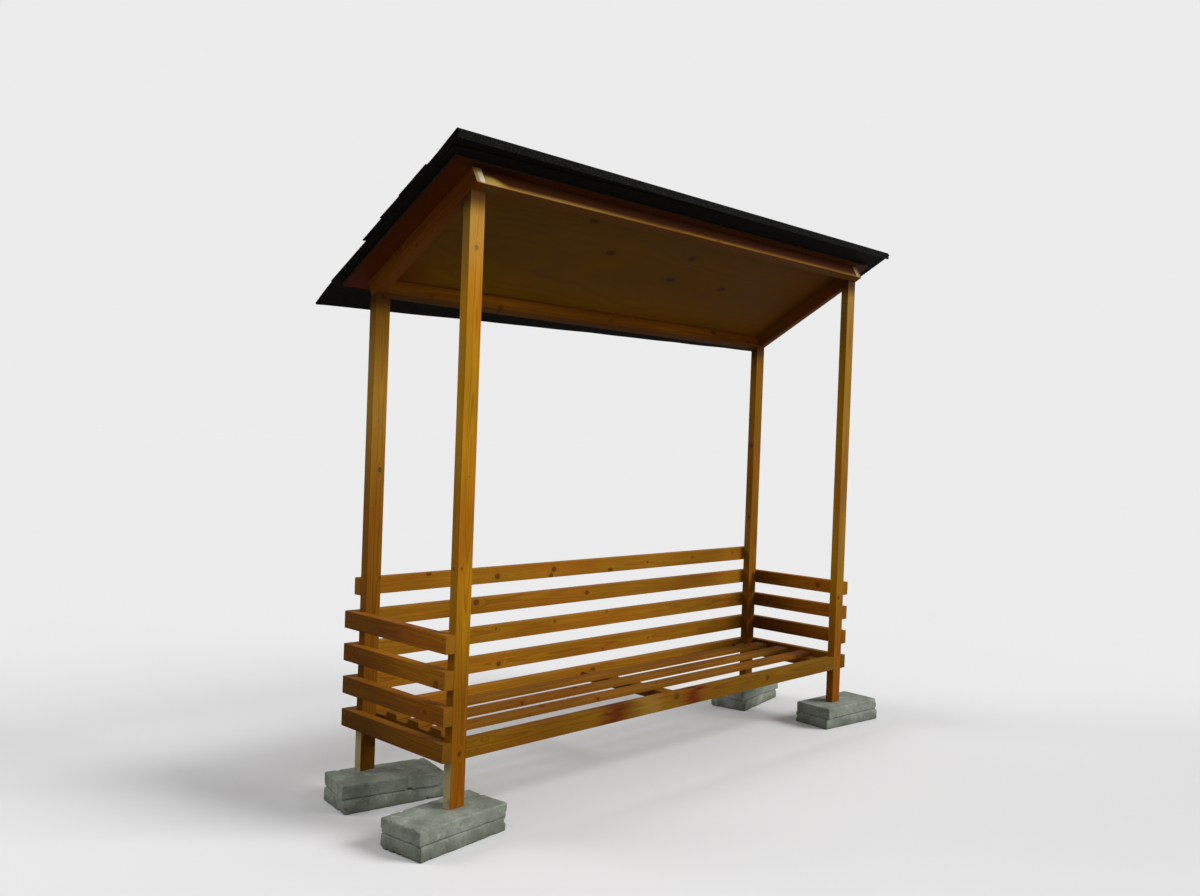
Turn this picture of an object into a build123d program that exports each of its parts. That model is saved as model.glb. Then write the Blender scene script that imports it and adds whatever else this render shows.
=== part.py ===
from build123d import *
from math import cos, radians, sin, tan
import os

os.makedirs("parts", exist_ok=True)

# Lumber: planed boards of one section, set on edge or flat, with eased long edges
board_wide = 64.0
board_thin = 38.0
eased = 2.5

# Frame, measured over the posts' outer faces
store_length = 2438.0
store_depth = 572.0
front_height = 2082.0
roof_angle = 30.0

# Feet: two oblong concrete pavers, one on the other, under each post
paver_long = 397.0
paver_short = 194.0
paver_thick = 50.0
paver_arris = 3.0
foot_height = 2 * paver_thick

# Slats and rails
lowest_slat = 162.0
slat_pitch = 121.5
end_slat_count = 4
back_slat_count = 5
floor_board_thick = 19.0

# Roof
rafter_length = 610.0
deck_thick = 12.0
deck_side_overhang = 82.0
deck_front_overhang = 22.0
deck_rear_overhang = 42.0
eave_overhang = 104.0
front_overhang = 120.0

# Shingles: three-tab strips laid in lapped courses, a little askew, lower at the left
shingle_skew = -1.3
strip_length = 914.4
row_trim = 40.0
strip_width = 305.0
strip_thick = 3.2
strip_joint = 1.0
exposure = 127.0
slot_width = 9.5
slot_length = 133.0
lap_gap = 0.1
course_shifts = (-8.0, -5.0, 1.0, -14.0, -20.5, 20.5)
starter_shift = -3.0
cap_shift = -12.0
cap_on_slope = 170.0
cap_clear = 1.5
cap_bend = 5.0
cap_lip = 37.0

slope = radians(roof_angle)
lap_tilt = (strip_thick + lap_gap) / exposure
course_slope = slope - lap_tilt

# Levels down the roof, from the foot of the front posts' front face
header_front = -board_thin
beam_rear = rafter_length + board_thin
deck_front = header_front - deck_front_overhang
deck_rear = beam_rear + deck_rear_overhang
eave = deck_rear + eave_overhang
roofing_front = header_front - front_overhang
deck_under = board_wide
deck_top = deck_under + deck_thick

# Reach of the askew rows: how far their ends run down or up the roof
row_length = 3 * strip_length - row_trim
skew = radians(abs(shingle_skew))
skew_run = (row_length / 2 - min(course_shifts)) * sin(skew)
eave_low = eave * cos(skew) + (row_length / 2 - course_shifts[0]) * sin(skew)


def over_slope(down, up):
    """Offset in Y and Z of a point lying down the slope and up from the rafters' undersides."""
    return down * cos(slope) + up * sin(slope), up * cos(slope) - down * sin(slope)


# The origin is the middle of the box around the whole store, on the ground
lip_inner = over_slope(roofing_front, deck_under)[0] - cap_clear
lip_outer = lip_inner - strip_thick
eave_lift = deck_top + strip_width * sin(lap_tilt)
eave_tip = over_slope(eave_low, eave_lift)[0] + strip_thick * sin(course_slope)
face_front = -(lip_outer + eave_tip) / 2
face_rear = face_front + store_depth
half_length = store_length / 2
rafter_foot = foot_height + front_height


def roof_point(down, up):
    """Point of the roof in Y and Z."""
    across, rise = over_slope(down, up)
    return face_front + across, rafter_foot + rise


roof_plane = Plane(
    origin=(0, face_front, rafter_foot),
    x_dir=(1, 0, 0),
    z_dir=(0, sin(slope), cos(slope)),
)
down_slope = Axis((0, 0, 0), (0, cos(slope), -sin(slope)))


def save(piece, name):
    piece.part.label = name
    export_step(piece.part, f"parts/{name}.step")


# Pavers, each stack a little skew to the store as it was set down
foot_places = {
    "front_left": (-half_length - 5, face_front + 14, 5.0, 6.5),
    "front_right": (half_length + 5, face_front + 14, -4.0, -6.5),
    "rear_left": (-half_length + 73, face_front + 478, -13.0, -9.0),
    "rear_right": (half_length - 60, face_front + 535, 8.0, 11.5),
}
for corner, (across, along, turn_upper, turn_lower) in foot_places.items():
    for tier, turn in (("lower", turn_lower), ("upper", turn_upper)):
        level = paver_thick if tier == "upper" else 0.0
        seat = Plane(Location((across, along, level), (0, 0, turn)))
        with BuildPart() as paver:
            with BuildSketch(seat):
                Rectangle(paver_long, paver_short)
            extrude(amount=paver_thick)
            chamfer(paver.edges(), length=paver_arris)
        save(paver, f"paver_{corner}_{tier}")

# Posts, broad face forward, tops cut to the roof's slope
post_places = {
    "front_left": (-half_length + board_wide / 2, face_front + board_thin / 2),
    "front_right": (half_length - board_wide / 2, face_front + board_thin / 2),
    "rear_left": (-half_length + board_wide / 2, face_rear - board_thin / 2),
    "rear_right": (half_length - board_wide / 2, face_rear - board_thin / 2),
}
for corner, (across, along) in post_places.items():
    with BuildPart() as post:
        with BuildSketch(Plane.XY.offset(foot_height)):
            with Locations((across, along)):
                Rectangle(board_wide, board_thin)
        extrude(amount=front_height + board_wide)
        fillet(post.edges().filter_by(Axis.Z), radius=eased)
        split(bisect_by=roof_plane, keep=Keep.BOTTOM)
    save(post, f"post_{corner}")

# Front bottom rail, between the front posts
with BuildPart() as rail_front:
    with Locations((0, face_front + board_thin / 2, foot_height + lowest_slat + board_wide / 2)):
        Box(store_length - 2 * board_wide, board_thin, board_wide)
    fillet(rail_front.edges().filter_by(Axis.X), radius=eased)
save(rail_front, "rail_front")

# End slats, outside the posts, running back over the ends of the back slats
end_slat_run = store_depth + board_thin
for side, sign in (("left", -1), ("right", 1)):
    for row in range(end_slat_count):
        level = foot_height + lowest_slat + row * slat_pitch + board_wide / 2
        with BuildPart() as end_slat:
            with Locations((sign * (half_length + board_thin / 2), face_front + end_slat_run / 2, level)):
                Box(board_thin, end_slat_run, board_wide)
            fillet(end_slat.edges().filter_by(Axis.Y), radius=eased)
        save(end_slat, f"end_slat_{side}_{row + 1}")

# Back slats, on the rear posts' rear faces
for row in range(back_slat_count):
    level = foot_height + lowest_slat + row * slat_pitch + board_wide / 2
    with BuildPart() as back_slat:
        with Locations((0, face_rear + board_thin / 2, level)):
            Box(store_length, board_thin, board_wide)
        fillet(back_slat.edges().filter_by(Axis.X), radius=eased)
    save(back_slat, f"back_slat_{row + 1}")

# Floor: thin boards along the bay, level with the rails, on bearers laid flat
floor_top = foot_height + lowest_slat + board_wide
bearer_run = store_depth - board_thin
bearer_x = half_length - board_wide - board_wide / 2
with BuildPart() as floor_bearers:
    with Locations(
        (-bearer_x, face_front + board_thin + bearer_run / 2, floor_top - floor_board_thick - board_thin / 2),
        (0, face_front + board_thin + bearer_run / 2, floor_top - floor_board_thick - board_thin / 2),
        (bearer_x, face_front + board_thin + bearer_run / 2, floor_top - floor_board_thick - board_thin / 2),
    ):
        Box(board_wide, bearer_run, board_thin)
    fillet(floor_bearers.edges().filter_by(Axis.Y), radius=eased)
save(floor_bearers, "floor_bearers")

floor_pitch = bearer_run / 4
with BuildPart() as floor_boards:
    with Locations(
        (0, face_front + board_thin + floor_pitch, floor_top - floor_board_thick / 2),
        (0, face_front + board_thin + 2 * floor_pitch, floor_top - floor_board_thick / 2),
        (0, face_front + board_thin + 3 * floor_pitch, floor_top - floor_board_thick / 2),
    ):
        Box(store_length - 2 * board_wide, board_wide, floor_board_thick)
    fillet(floor_boards.edges().filter_by(Axis.X), radius=eased)
save(floor_boards, "floor_boards")

# Roof frame on edge: two rafters, with the header and the rear beam between their ends
rafter_middle = (header_front + beam_rear) / 2
for side, sign in (("left", -1), ("right", 1)):
    with BuildPart() as rafter:
        with BuildSketch(roof_plane):
            with Locations((sign * (half_length - board_thin / 2), rafter_middle)):
                Rectangle(board_thin, beam_rear - header_front)
        extrude(amount=board_wide)
        fillet(rafter.edges().filter_by(down_slope), radius=eased)
    save(rafter, f"rafter_{side}")

for name, middle in (("header_front", -board_thin / 2), ("beam_rear", rafter_length + board_thin / 2)):
    with BuildPart() as cross_piece:
        with BuildSketch(roof_plane):
            with Locations((0, middle)):
                Rectangle(store_length - 2 * board_thin, board_thin)
        extrude(amount=board_wide)
        fillet(cross_piece.edges().filter_by(Axis.X), radius=eased)
    save(cross_piece, name)

# Deck sheet over the frame
with BuildPart() as roof_deck:
    with BuildSketch(roof_plane.offset(deck_under)):
        with Locations((0, (deck_front + deck_rear) / 2)):
            Rectangle(store_length + 2 * deck_side_overhang, deck_rear - deck_front)
    extrude(amount=deck_thick)
save(roof_deck, "roof_deck")

# Shingles lie askew on the deck
deck_place = roof_plane.offset(deck_top).location
askew = deck_place * Location((0, 0, 0), (0, 0, shingle_skew)) * deck_place.inverse()


def course_plane(edge):
    """Underside plane of a course, with its origin on the course's lower edge, turned askew on the deck."""
    along, up = roof_point(edge, deck_top + strip_width * sin(lap_tilt))
    square = Plane(origin=(0, along, up), x_dir=(1, 0, 0), z_dir=(0, sin(course_slope), cos(course_slope)))
    return Plane(askew * square.location)


tab = strip_length / 3
starter_drop = exposure / cos(lap_tilt)
starter_width = strip_width - starter_drop

# Starter strips under the lowest course
starter_plane = course_plane(eave + exposure)
with BuildPart() as starter:
    with BuildSketch(starter_plane):
        with Locations((starter_shift, -starter_drop - starter_width / 2)):
            with GridLocations(row_length / 3, 0, 3, 1):
                Rectangle(row_length / 3 - strip_joint, starter_width)
    extrude(amount=strip_thick)
save(starter, "shingle_starter")

# Courses from the eave up, every second one set over by half a tab
for number, shift in enumerate(course_shifts):
    edge = eave - number * exposure
    width = min(strip_width, (edge - roofing_front) / cos(lap_tilt) - skew_run)
    left_end = shift - row_length / 2
    first_length = strip_length if number % 2 == 0 else strip_length - tab / 2
    joints = [left_end, left_end + first_length]
    while joints[-1] < left_end + row_length - 1:
        joints.append(min(joints[-1] + strip_length, left_end + row_length))
    slots = [left_end + first_length + step * tab for step in range(-3, 9)]
    with BuildPart() as course:
        with BuildSketch(course_plane(edge)):
            for start, end in zip(joints, joints[1:]):
                with Locations(((start + end) / 2, -width / 2)):
                    Rectangle(end - start - strip_joint, width)
            with Locations(*[(place, -slot_length / 2) for place in slots]):
                Rectangle(slot_width, slot_length, mode=Mode.SUBTRACT)
        extrude(amount=strip_thick)
    save(course, f"shingle_course_{number + 1}")

# Cap shingles that reach out past the deck's front edge, with a short lip bent down
cap_foot = roofing_front + cap_on_slope
cap_lift = deck_top + (cap_foot + skew_run - (eave - len(course_shifts) * exposure - strip_width)) * tan(lap_tilt)
foot_y, foot_z = roof_point(cap_foot, cap_lift)
lip_y = face_front + lip_inner
inner_z = foot_z + (foot_y - lip_y) * tan(course_slope)
outer_z = foot_z + strip_thick / cos(course_slope) + (foot_y - lip_y + strip_thick) * tan(course_slope)
hem_z = outer_z - cap_lip
with BuildPart() as cap:
    with BuildSketch(Plane.YZ.offset(cap_shift - row_length / 2)) as cap_profile:
        with BuildLine():
            Polyline(
                (foot_y, foot_z),
                (lip_y, inner_z),
                (lip_y, hem_z),
                (lip_y - strip_thick, hem_z),
                (lip_y - strip_thick, outer_z),
                (foot_y + strip_thick * sin(course_slope), foot_z + strip_thick * cos(course_slope)),
                close=True,
            )
        make_face()
        inner = cap_profile.vertices().sort_by_distance((lip_y, inner_z))[0]
        fillet(inner, radius=cap_bend)
        outer = cap_profile.vertices().sort_by_distance((lip_y - strip_thick, outer_z))[0]
        fillet(outer, radius=cap_bend + strip_thick)
    extrude(amount=row_length)
    cap_left = cap_shift - row_length / 2
    with Locations((cap_left + strip_length, foot_y, foot_z), (cap_left + 2 * strip_length, foot_y, foot_z)):
        Box(strip_joint, 4 * cap_on_slope, 4 * cap_on_slope, mode=Mode.SUBTRACT)
save(cap, "shingle_cap")
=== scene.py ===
"""Looks of the log store: stained lumber, plywood deck, shingles, worn concrete pavers, screws and nails."""

import math
import random
from collections import namedtuple

import bmesh
import bpy
from mathutils import Matrix, Vector, noise
from mathutils.bvhtree import BVHTree


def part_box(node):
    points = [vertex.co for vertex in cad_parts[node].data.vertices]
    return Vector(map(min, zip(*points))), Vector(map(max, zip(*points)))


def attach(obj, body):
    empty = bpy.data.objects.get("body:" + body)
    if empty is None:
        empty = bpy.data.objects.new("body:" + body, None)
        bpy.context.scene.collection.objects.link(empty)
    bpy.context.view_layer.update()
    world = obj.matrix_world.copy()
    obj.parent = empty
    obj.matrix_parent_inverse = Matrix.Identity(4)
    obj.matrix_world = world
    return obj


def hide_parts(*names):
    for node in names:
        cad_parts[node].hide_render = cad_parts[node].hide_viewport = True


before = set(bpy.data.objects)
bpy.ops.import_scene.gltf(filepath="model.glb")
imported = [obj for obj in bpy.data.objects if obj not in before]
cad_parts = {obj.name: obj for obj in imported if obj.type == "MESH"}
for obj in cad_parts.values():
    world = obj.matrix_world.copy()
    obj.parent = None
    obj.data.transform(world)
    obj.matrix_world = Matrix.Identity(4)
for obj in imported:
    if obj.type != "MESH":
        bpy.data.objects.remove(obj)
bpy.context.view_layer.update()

MM = 0.001
HAIR = 0.01 * MM
LUMBER_WIDE = 64 * MM
ROOF_ANGLE = math.radians(30)
UP = Vector((0, 0, 1))
ALONG_STORE = Vector((1, 0, 0))
TO_BACK = Vector((0, 1, 0))
DOWN_ROOF = Vector((0, math.cos(ROOF_ANGLE), -math.sin(ROOF_ANGLE)))
OUT_OF_ROOF = Vector((0, math.sin(ROOF_ANGLE), math.cos(ROOF_ANGLE)))

# Camera, as the photograph was taken: from the left of the store, 1.37 m above the ground
CAMERA_PLACE = Vector((-3.474, -3.156, 1.373))
CAMERA_HEADING = math.radians(45.85)
CAMERA_TILT = math.radians(-0.63)
CAMERA_ROLL = math.radians(-2.09)
CAMERA_LENS = 32.22
CAMERA_SENSOR = 36.0
CAMERA_REACH = 300.0

# Light: a broad lamp in front and to the right, a faint one behind, and an even sky
KEY_FROM = Vector((0.50, -0.68, 0.54))
KEY_STRENGTH = 2.5
BACK_FROM = Vector((-0.55, 0.62, 0.56))
BACK_STRENGTH = 0.7
LAMP_ANGLE = math.radians(28)
SKY_STRENGTH = 0.42
BACKDROP = 0.838
FLOOR_SEEN = 0.86
FLOOR_BOUNCE = 0.20
FLOOR_REACH = 150.0


def tone(red, green, blue):
    """A colour given in the 0 to 255 steps of a screen, as the shader takes it."""
    steps = [value / 255 for value in (red, green, blue)]
    return (*[s / 12.92 if s <= 0.04045 else ((s + 0.055) / 1.055) ** 2.4 for s in steps], 1.0)


def grey(level):
    """A grey of one level, in the shader's own terms."""
    return (level, level, level, 1.0)


def share(value):
    """A number kept from 0 to 1."""
    return min(1.0, max(0.0, value))


def ragged(value, pattern, spread):
    """A value that a pattern of 0 to 1 pushes up and down by half a spread."""
    return value + (pattern - 0.5) * spread


def turn_to(along, broad):
    """The turn of a pattern whose first two directions lie along a piece and across its broad side."""
    return Matrix((along, broad, along.cross(broad))).transposed().to_euler("XYZ")


def both_ways(operation):
    """An operator and its reflected form, each of which adds a Math node."""
    return (lambda self, other: self.net.maths(operation, self, other),
            lambda self, other: self.net.maths(operation, other, self))


class Wire:
    """A socket of a net of nodes. Arithmetic on wires and numbers adds Math nodes."""

    __add__, __radd__ = both_ways("ADD")
    __sub__, __rsub__ = both_ways("SUBTRACT")
    __mul__, __rmul__ = both_ways("MULTIPLY")
    __truediv__, __rtruediv__ = both_ways("DIVIDE")
    __pow__, __rpow__ = both_ways("POWER")

    def __init__(self, net, socket):
        self.net = net
        self.socket = socket

    def __abs__(self):
        return self.net.maths("ABSOLUTE", self)

    def __neg__(self):
        return self.net.maths("MULTIPLY", self, -1.0)

    def other(self, name):
        """Another output of the same node."""
        return Wire(self.net, self.socket.node.outputs[name])


class Net:
    """A tree of nodes and the one way in which a node is added to it."""

    def __init__(self, tree):
        self.tree = tree

    def node(self, kind, settings=None, values=None, out=0):
        """Adds a node, sets its settings and then its sockets, and gives one of its outputs."""
        made = self.tree.nodes.new(kind)
        for key, value in (settings or {}).items():
            if key == "stops":
                ramp = made.color_ramp
                while len(ramp.elements) < len(value):
                    ramp.elements.new(1.0)
                for element, (place, level) in zip(ramp.elements, value):
                    element.position = place
                    element.color = grey(level)
            else:
                setattr(made, key, value)
        for key, value in (values or {}).items():
            self.plug(made.inputs[key], value)
        return Wire(self, made.outputs[out]) if made.outputs else None

    def plug(self, socket, value):
        """Links a wire to a socket, or writes a constant on it."""
        if isinstance(value, Wire):
            self.tree.links.new(value.socket, socket)
        else:
            socket.default_value = value

    def maths(self, operation, *values):
        return self.node("ShaderNodeMath", {"operation": operation}, dict(enumerate(values)))


class Finish(Net):
    """A material that is built node by node. Its constants sit on the shader's own sockets."""

    def __init__(self, name, **constants):
        self.material = bpy.data.materials.new(name)
        self.material.use_nodes = True
        super().__init__(self.material.node_tree)
        self.shader = self.tree.nodes["Principled BSDF"]
        self.surface(**constants)

    def surface(self, **values):
        """Gives the shader its constants and what changes over the surface."""
        for key, value in values.items():
            self.plug(self.shader.inputs[key.replace("_", " ")], value)
        return self.material

    def place(self, centre=(0, 0, 0), turn=(0, 0, 0)):
        """The point on the object, in metres, seen from a centre and turned to a piece's own directions."""
        point = self.node("ShaderNodeTexCoord", out="Object")
        values = {"Vector": point, "Location": centre, "Rotation": turn}
        return self.node("ShaderNodeMapping", {"vector_type": "TEXTURE"}, values)

    def parts(self, vector):
        """The three parts of a vector."""
        first = self.node("ShaderNodeSeparateXYZ", values={"Vector": vector})
        return first, first.other("Y"), first.other("Z")

    def vector(self, x, y, z):
        return self.node("ShaderNodeCombineXYZ", values={"X": x, "Y": y, "Z": z})

    def facing(self, direction):
        """How far the surface faces a direction, from -1 to 1."""
        values = {0: self.node("ShaderNodeTexCoord", out="Normal"), 1: direction}
        return self.node("ShaderNodeVectorMath", {"operation": "DOT_PRODUCT"}, values, "Value")

    def faces(self, direction, both=False):
        """1 where the surface faces a direction, or either way along it, and 0 elsewhere."""
        facing = self.facing(direction)
        return self.ease(abs(facing) if both else facing, 0.5, 0.8)

    def noise(self, vector, scale=1.0, detail=2.0, roughness=0.5):
        values = {"Vector": vector, "Scale": scale, "Detail": detail, "Roughness": roughness}
        return self.node("ShaderNodeTexNoise", {"noise_dimensions": "3D"}, values)

    def stretched(self, place, scales, shift=0.0, **looks):
        """Noise of one scale along a board and another across it."""
        x, y, z = place
        along, across = scales
        return self.noise(self.vector(x * along + shift, y * across, z * across), **looks)

    def cells(self, vector, scale=1.0, dimensions="3D"):
        """Distance to the middle of the nearest of many scattered cells."""
        values = {"Vector": vector, "Scale": scale}
        return self.node("ShaderNodeTexVoronoi", {"voronoi_dimensions": dimensions}, values, "Distance")

    def chance(self, value):
        """A steady random number from 0 to 1 for each value."""
        return self.node("ShaderNodeTexWhiteNoise", {"noise_dimensions": "1D"}, {"W": value})

    def ease(self, value, low, high, start=0.0, end=1.0):
        """A smooth step of a value from low to high, giving start to end."""
        values = {"Value": value, "From Min": low, "From Max": high, "To Min": start, "To Max": end}
        return self.node("ShaderNodeMapRange", {"interpolation_type": "SMOOTHSTEP"}, values)

    def bell(self, value, middle, spread):
        """1 at a middle, falling away smoothly over a spread on both sides."""
        return math.e ** -(((value - middle) / spread) ** 2.0)

    def rings(self, count, year_profile, faintest):
        """Late wood from 0 to 1 for a count of growth rings, some years fainter than others."""
        year = self.maths("FLOOR", count)
        late = self.node("ShaderNodeValToRGB", {"stops": year_profile}, {"Fac": count - year})
        return late * self.ease(self.chance(year), 0.0, 1.0, faintest, 1.0)

    def mix(self, amount, first, second, blend="MIX"):
        """A colour between two colours."""
        settings = {"data_type": "RGBA", "blend_type": blend}
        return self.node("ShaderNodeMix", settings, {0: amount, 6: first, 7: second}, 2)

    def tint(self, amount, colour, tint):
        """A colour seen through a tinted film."""
        return self.mix(amount, colour, self.mix(1.0, colour, tint, "MULTIPLY"))

    def shade(self, colour, amount):
        """A colour made darker or lighter by a factor."""
        colour = colour if isinstance(colour, Wire) else colour[:3]
        return self.node("ShaderNodeVectorMath", {"operation": "SCALE"}, {0: colour, "Scale": amount})

    def bump(self, height, depth, strength):
        values = {"Height": height, "Distance": depth, "Strength": strength}
        return self.node("ShaderNodeBump", values=values)


def dress(node, material):
    """Gives a node of the frame its finish."""
    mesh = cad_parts[node].data
    mesh.materials.clear()
    mesh.materials.append(material)


def add(name, data):
    """A new object in the scene."""
    made = bpy.data.objects.new(name, data)
    bpy.context.scene.collection.objects.link(made)
    return made


def middle(node):
    """The middle of a node's box."""
    low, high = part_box(node)
    return (low + high) / 2


def merged_copy(node, flatness):
    """A mesh builder with a node's shape, its corners joined and its flat sides made one face each."""
    made = bmesh.new()
    made.from_mesh(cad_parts[node].data)
    bmesh.ops.remove_doubles(made, verts=made.verts, dist=HAIR)
    bmesh.ops.dissolve_limit(made, angle_limit=flatness, verts=made.verts, edges=made.edges)
    return made


def finished_mesh(made, name):
    """Turns a mesh builder's faces outwards and ends it as a mesh."""
    bmesh.ops.recalc_face_normals(made, faces=made.faces)
    mesh = bpy.data.meshes.new(name)
    made.to_mesh(mesh)
    made.free()
    return mesh


# Stained softwood, each stain with its early and its late wood. The end slats' and the rear posts' stains
# are made darker as painted shade.

STAINS = {
    "post": (tone(184, 130, 18), tone(150, 92, 6)),
    "shaded_rear_post": (tone(142, 98, 15), tone(112, 67, 5)),
    "rail": (tone(134, 92, 13), tone(104, 64, 6)),
    "end": (tone(136, 86, 11), tone(105, 59, 5)),
    "back": (tone(158, 108, 20), tone(126, 74, 8)),
    "floor": (tone(140, 92, 20), tone(112, 66, 8)),
    "rafter": (tone(128, 74, 14), tone(98, 50, 6)),
    "beam": (tone(150, 94, 12), tone(116, 62, 6)),
    "header": (tone(138, 94, 18), tone(112, 70, 10)),
}
WARM_TINT = tone(236, 172, 150)
KNOT = tone(92, 46, 7)
KNOT_EDGE = tone(58, 26, 5)
CUT_END = tone(152, 101, 26)
CUT_END_RING = tone(122, 74, 12)

# One year across a growth ring, as places from 0 to 1 and how much late wood each has
LUMBER_YEAR = ((0.0, 0.55), (0.10, 0.0), (0.50, 0.10), (0.90, 1.0), (1.0, 0.62))
RING_WIDTH = 4.4 * MM
PITH_ASIDE = 18 * MM
PITH_DEPTH = (30 * MM, 62 * MM)
PITH_WANDER = 30 * MM
PITH_SWAY = 34 * MM
BOARD_SHIFT = 1.7

KNOT_GAP = 340 * MM
KNOT_TURN = 1.15
KNOT_LARGEST = 11.5 * MM
POST_KNOT_LARGEST = 8 * MM
KNOT_RINGS = 900.0

# Noise along a board and across it, in steps per metre
RIPPLE = (5.0, 24.0)
FIBRE = (9.0, 430.0)
STREAK = (2.4, 70.0)
PATCH = (2.1, 8.0)
WARMTH = (1.1, 5.0)

Grain = namedtuple("Grain", ("late", "patch", "streak", "across"))


def board_place(coat, node, along, broad, pitch):
    """Metres along, across and through a board, from its middle. A pitch parts a node of several boards."""
    x, y, z = coat.parts(coat.place(middle(node), turn_to(along, broad)))
    if pitch:
        board = coat.maths("ROUND", y / pitch)
        y = y - board * pitch
        x = x + board * BOARD_SHIFT
    return x, y, z


def branch(coat, along, angle, radius, draw, largest):
    """Distance to the nearest branch that leaves the pith, and that branch's radius, both in metres."""
    row = along / KNOT_GAP + draw.uniform(0, 40)
    turn = angle / KNOT_TURN
    cell = coat.cells(coat.vector(row, turn, 0.0), dimensions="2D")
    cell_row, cell_turn, _ = coat.parts(cell.other("Position"))
    chance, _, _ = coat.parts(cell.other("Color"))
    off_along = (row - cell_row) * KNOT_GAP
    off_round = (turn - cell_turn) * KNOT_TURN * radius
    distance = (off_along * off_along * 0.7 + off_round * off_round) ** 0.5
    return distance, coat.ease(chance, 0.50, 1.0, 0.0, largest)


def growth(coat, place, draw, largest_knot):
    """Late wood round a pith that wanders a little, how near a knot is, its distance and its radius."""
    x, y, z = place
    side = draw.choice((-1.0, 1.0))
    wander = coat.noise(coat.vector(x * 0.9, draw.uniform(0, 9), 0.0), detail=1.0)
    sway = coat.noise(coat.vector(x * 1.1, draw.uniform(10, 19), 0.0), detail=1.0)
    from_pith_y = ragged(y + draw.uniform(-PITH_ASIDE, PITH_ASIDE), wander, PITH_WANDER)
    from_pith_z = ragged(z * side + draw.uniform(*PITH_DEPTH), sway, PITH_SWAY)
    radius = (from_pith_y * from_pith_y + from_pith_z * from_pith_z) ** 0.5
    angle = coat.maths("ARCTAN2", from_pith_y, from_pith_z)
    away, knot_size = branch(coat, x, angle, radius, draw, largest_knot)
    near = coat.bell(away, 0.0, knot_size * 1.9 + 3 * MM)
    ripple = coat.stretched(place, RIPPLE)
    count = ragged((radius - near * knot_size * 1.1) / RING_WIDTH, ripple, 0.9)
    return coat.rings(count, LUMBER_YEAR, 0.45), near, away, knot_size


def lumber(node, stain, along, broad, pitch=0.0, wear_and_painted_light=None, largest_knot=KNOT_LARGEST):
    """Softwood sawn beside the pith of its own tree: growth rings, fibres, knots, cut ends and a stain."""
    draw = random.Random(node)
    coat = Finish(f"{node}_stained", Specular_IOR_Level=0.05)
    x, y, z = board_place(coat, node, along, broad, pitch)
    x = x + draw.uniform(-5, 5)
    place = (x, y, z)
    late, near, away, knot_size = growth(coat, place, draw, largest_knot)
    early_tone, late_tone = STAINS[stain]

    # Fibres, and stain that soaked in unevenly
    fibre = coat.stretched(place, FIBRE, detail=3.0, roughness=0.6)
    streak = coat.stretched(place, STREAK)
    patch = coat.stretched(place, PATCH, detail=3.0, roughness=0.55)
    warm = coat.stretched(place, WARMTH, shift=30.0)
    level = coat.ease(patch, 0.25, 0.78, 0.80, 1.14) * draw.uniform(0.93, 1.06)
    wood = coat.mix(late * 0.80, early_tone, late_tone)
    wood = coat.tint(coat.ease(warm, 0.42, 0.68, 0.0, 0.42), wood, WARM_TINT)
    wood = coat.shade(wood, level * (0.90 + 0.20 * streak) * (0.91 + 0.18 * fibre))

    # Knots, with a dark bark edge and their own rings
    outward = away / (knot_size + HAIR)
    knot = coat.ease(outward, 1.10, 0.82)
    rim = knot * coat.ease(outward, 0.62, 0.96)
    knot_ring = coat.ease(coat.maths("SINE", away * KNOT_RINGS), -1.0, 1.0, 0.75, 1.15)
    wood = coat.mix(coat.ease(near, 0.25, 0.95, 0.0, 0.45), wood, late_tone)
    wood = coat.mix(knot * 0.75, wood, coat.shade(KNOT, knot_ring))
    wood = coat.mix(rim * 0.6, wood, KNOT_EDGE)

    # End grain drinks the stain
    end = coat.faces(along, both=True)
    end_tone = coat.shade(coat.mix(late, CUT_END, CUT_END_RING), 0.86 + 0.28 * patch)
    wood = coat.mix(end, wood, end_tone)
    if wear_and_painted_light:
        wood = wear_and_painted_light(coat, wood, Grain(late, patch, streak, y))

    rough = 0.52 + 0.20 * patch - 0.08 * late + 0.24 * end + 0.10 * fibre
    height = late * 0.35 + fibre * 0.40 + knot * 0.5 - rim * 0.9
    dress(node, coat.surface(Base_Color=wood, Roughness=rough, Normal=coat.bump(height, 0.5 * MM, 0.65)))


# What the weather has done to the lumber, and the light and shade painted on it

BARE_WOOD = tone(182, 166, 124)
BARE_RING = tone(156, 134, 92)
FRESH_CUT = tone(234, 222, 190)
# A pale tone: painted light on the posts and the header, a greying of the painted shadow on a post, and the
# rail's paler stretch
PALE_TONE = tone(216, 184, 104)
# Dark tones of painted shade: the posts' tops and the header's face under the roofing, then the header's
# underside
PAINTED_SHADE_TONE = tone(62, 28, 3)
PAINTED_UNDERSIDE_SHADE = tone(104, 62, 10)
FOOT_SHADE_TINT = tone(204, 181, 140)
DAMP_TINT = tone(198, 138, 146)
SOIL = tone(74, 62, 44)

# Posts: heights above the ground at which a mark begins and is full, then depths below the top and the slats
PAINTED_LIGHT_HEIGHTS = (0.90, 1.95)
PAINTED_HIGHLIGHT_HEIGHTS = (1.84, 2.08)
PAINTED_SIDE_SHADE_HEIGHTS = (1.74, 1.98)
PAINTED_SHADOW_HEIGHTS = (0.62, 0.85)
PAINTED_FOOT_SHADE_HEIGHTS = (0.86, 0.38)
LIT_STRETCH_MIDDLE, LIT_STRETCH_SPREAD = 1.47, 0.24
EAVES_SHADE = (0.095, 0.020)
STAIN_ENDS = (-2 * MM, 4 * MM)
PAVERS_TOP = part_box("paver_front_left_upper")[1].z

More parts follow.
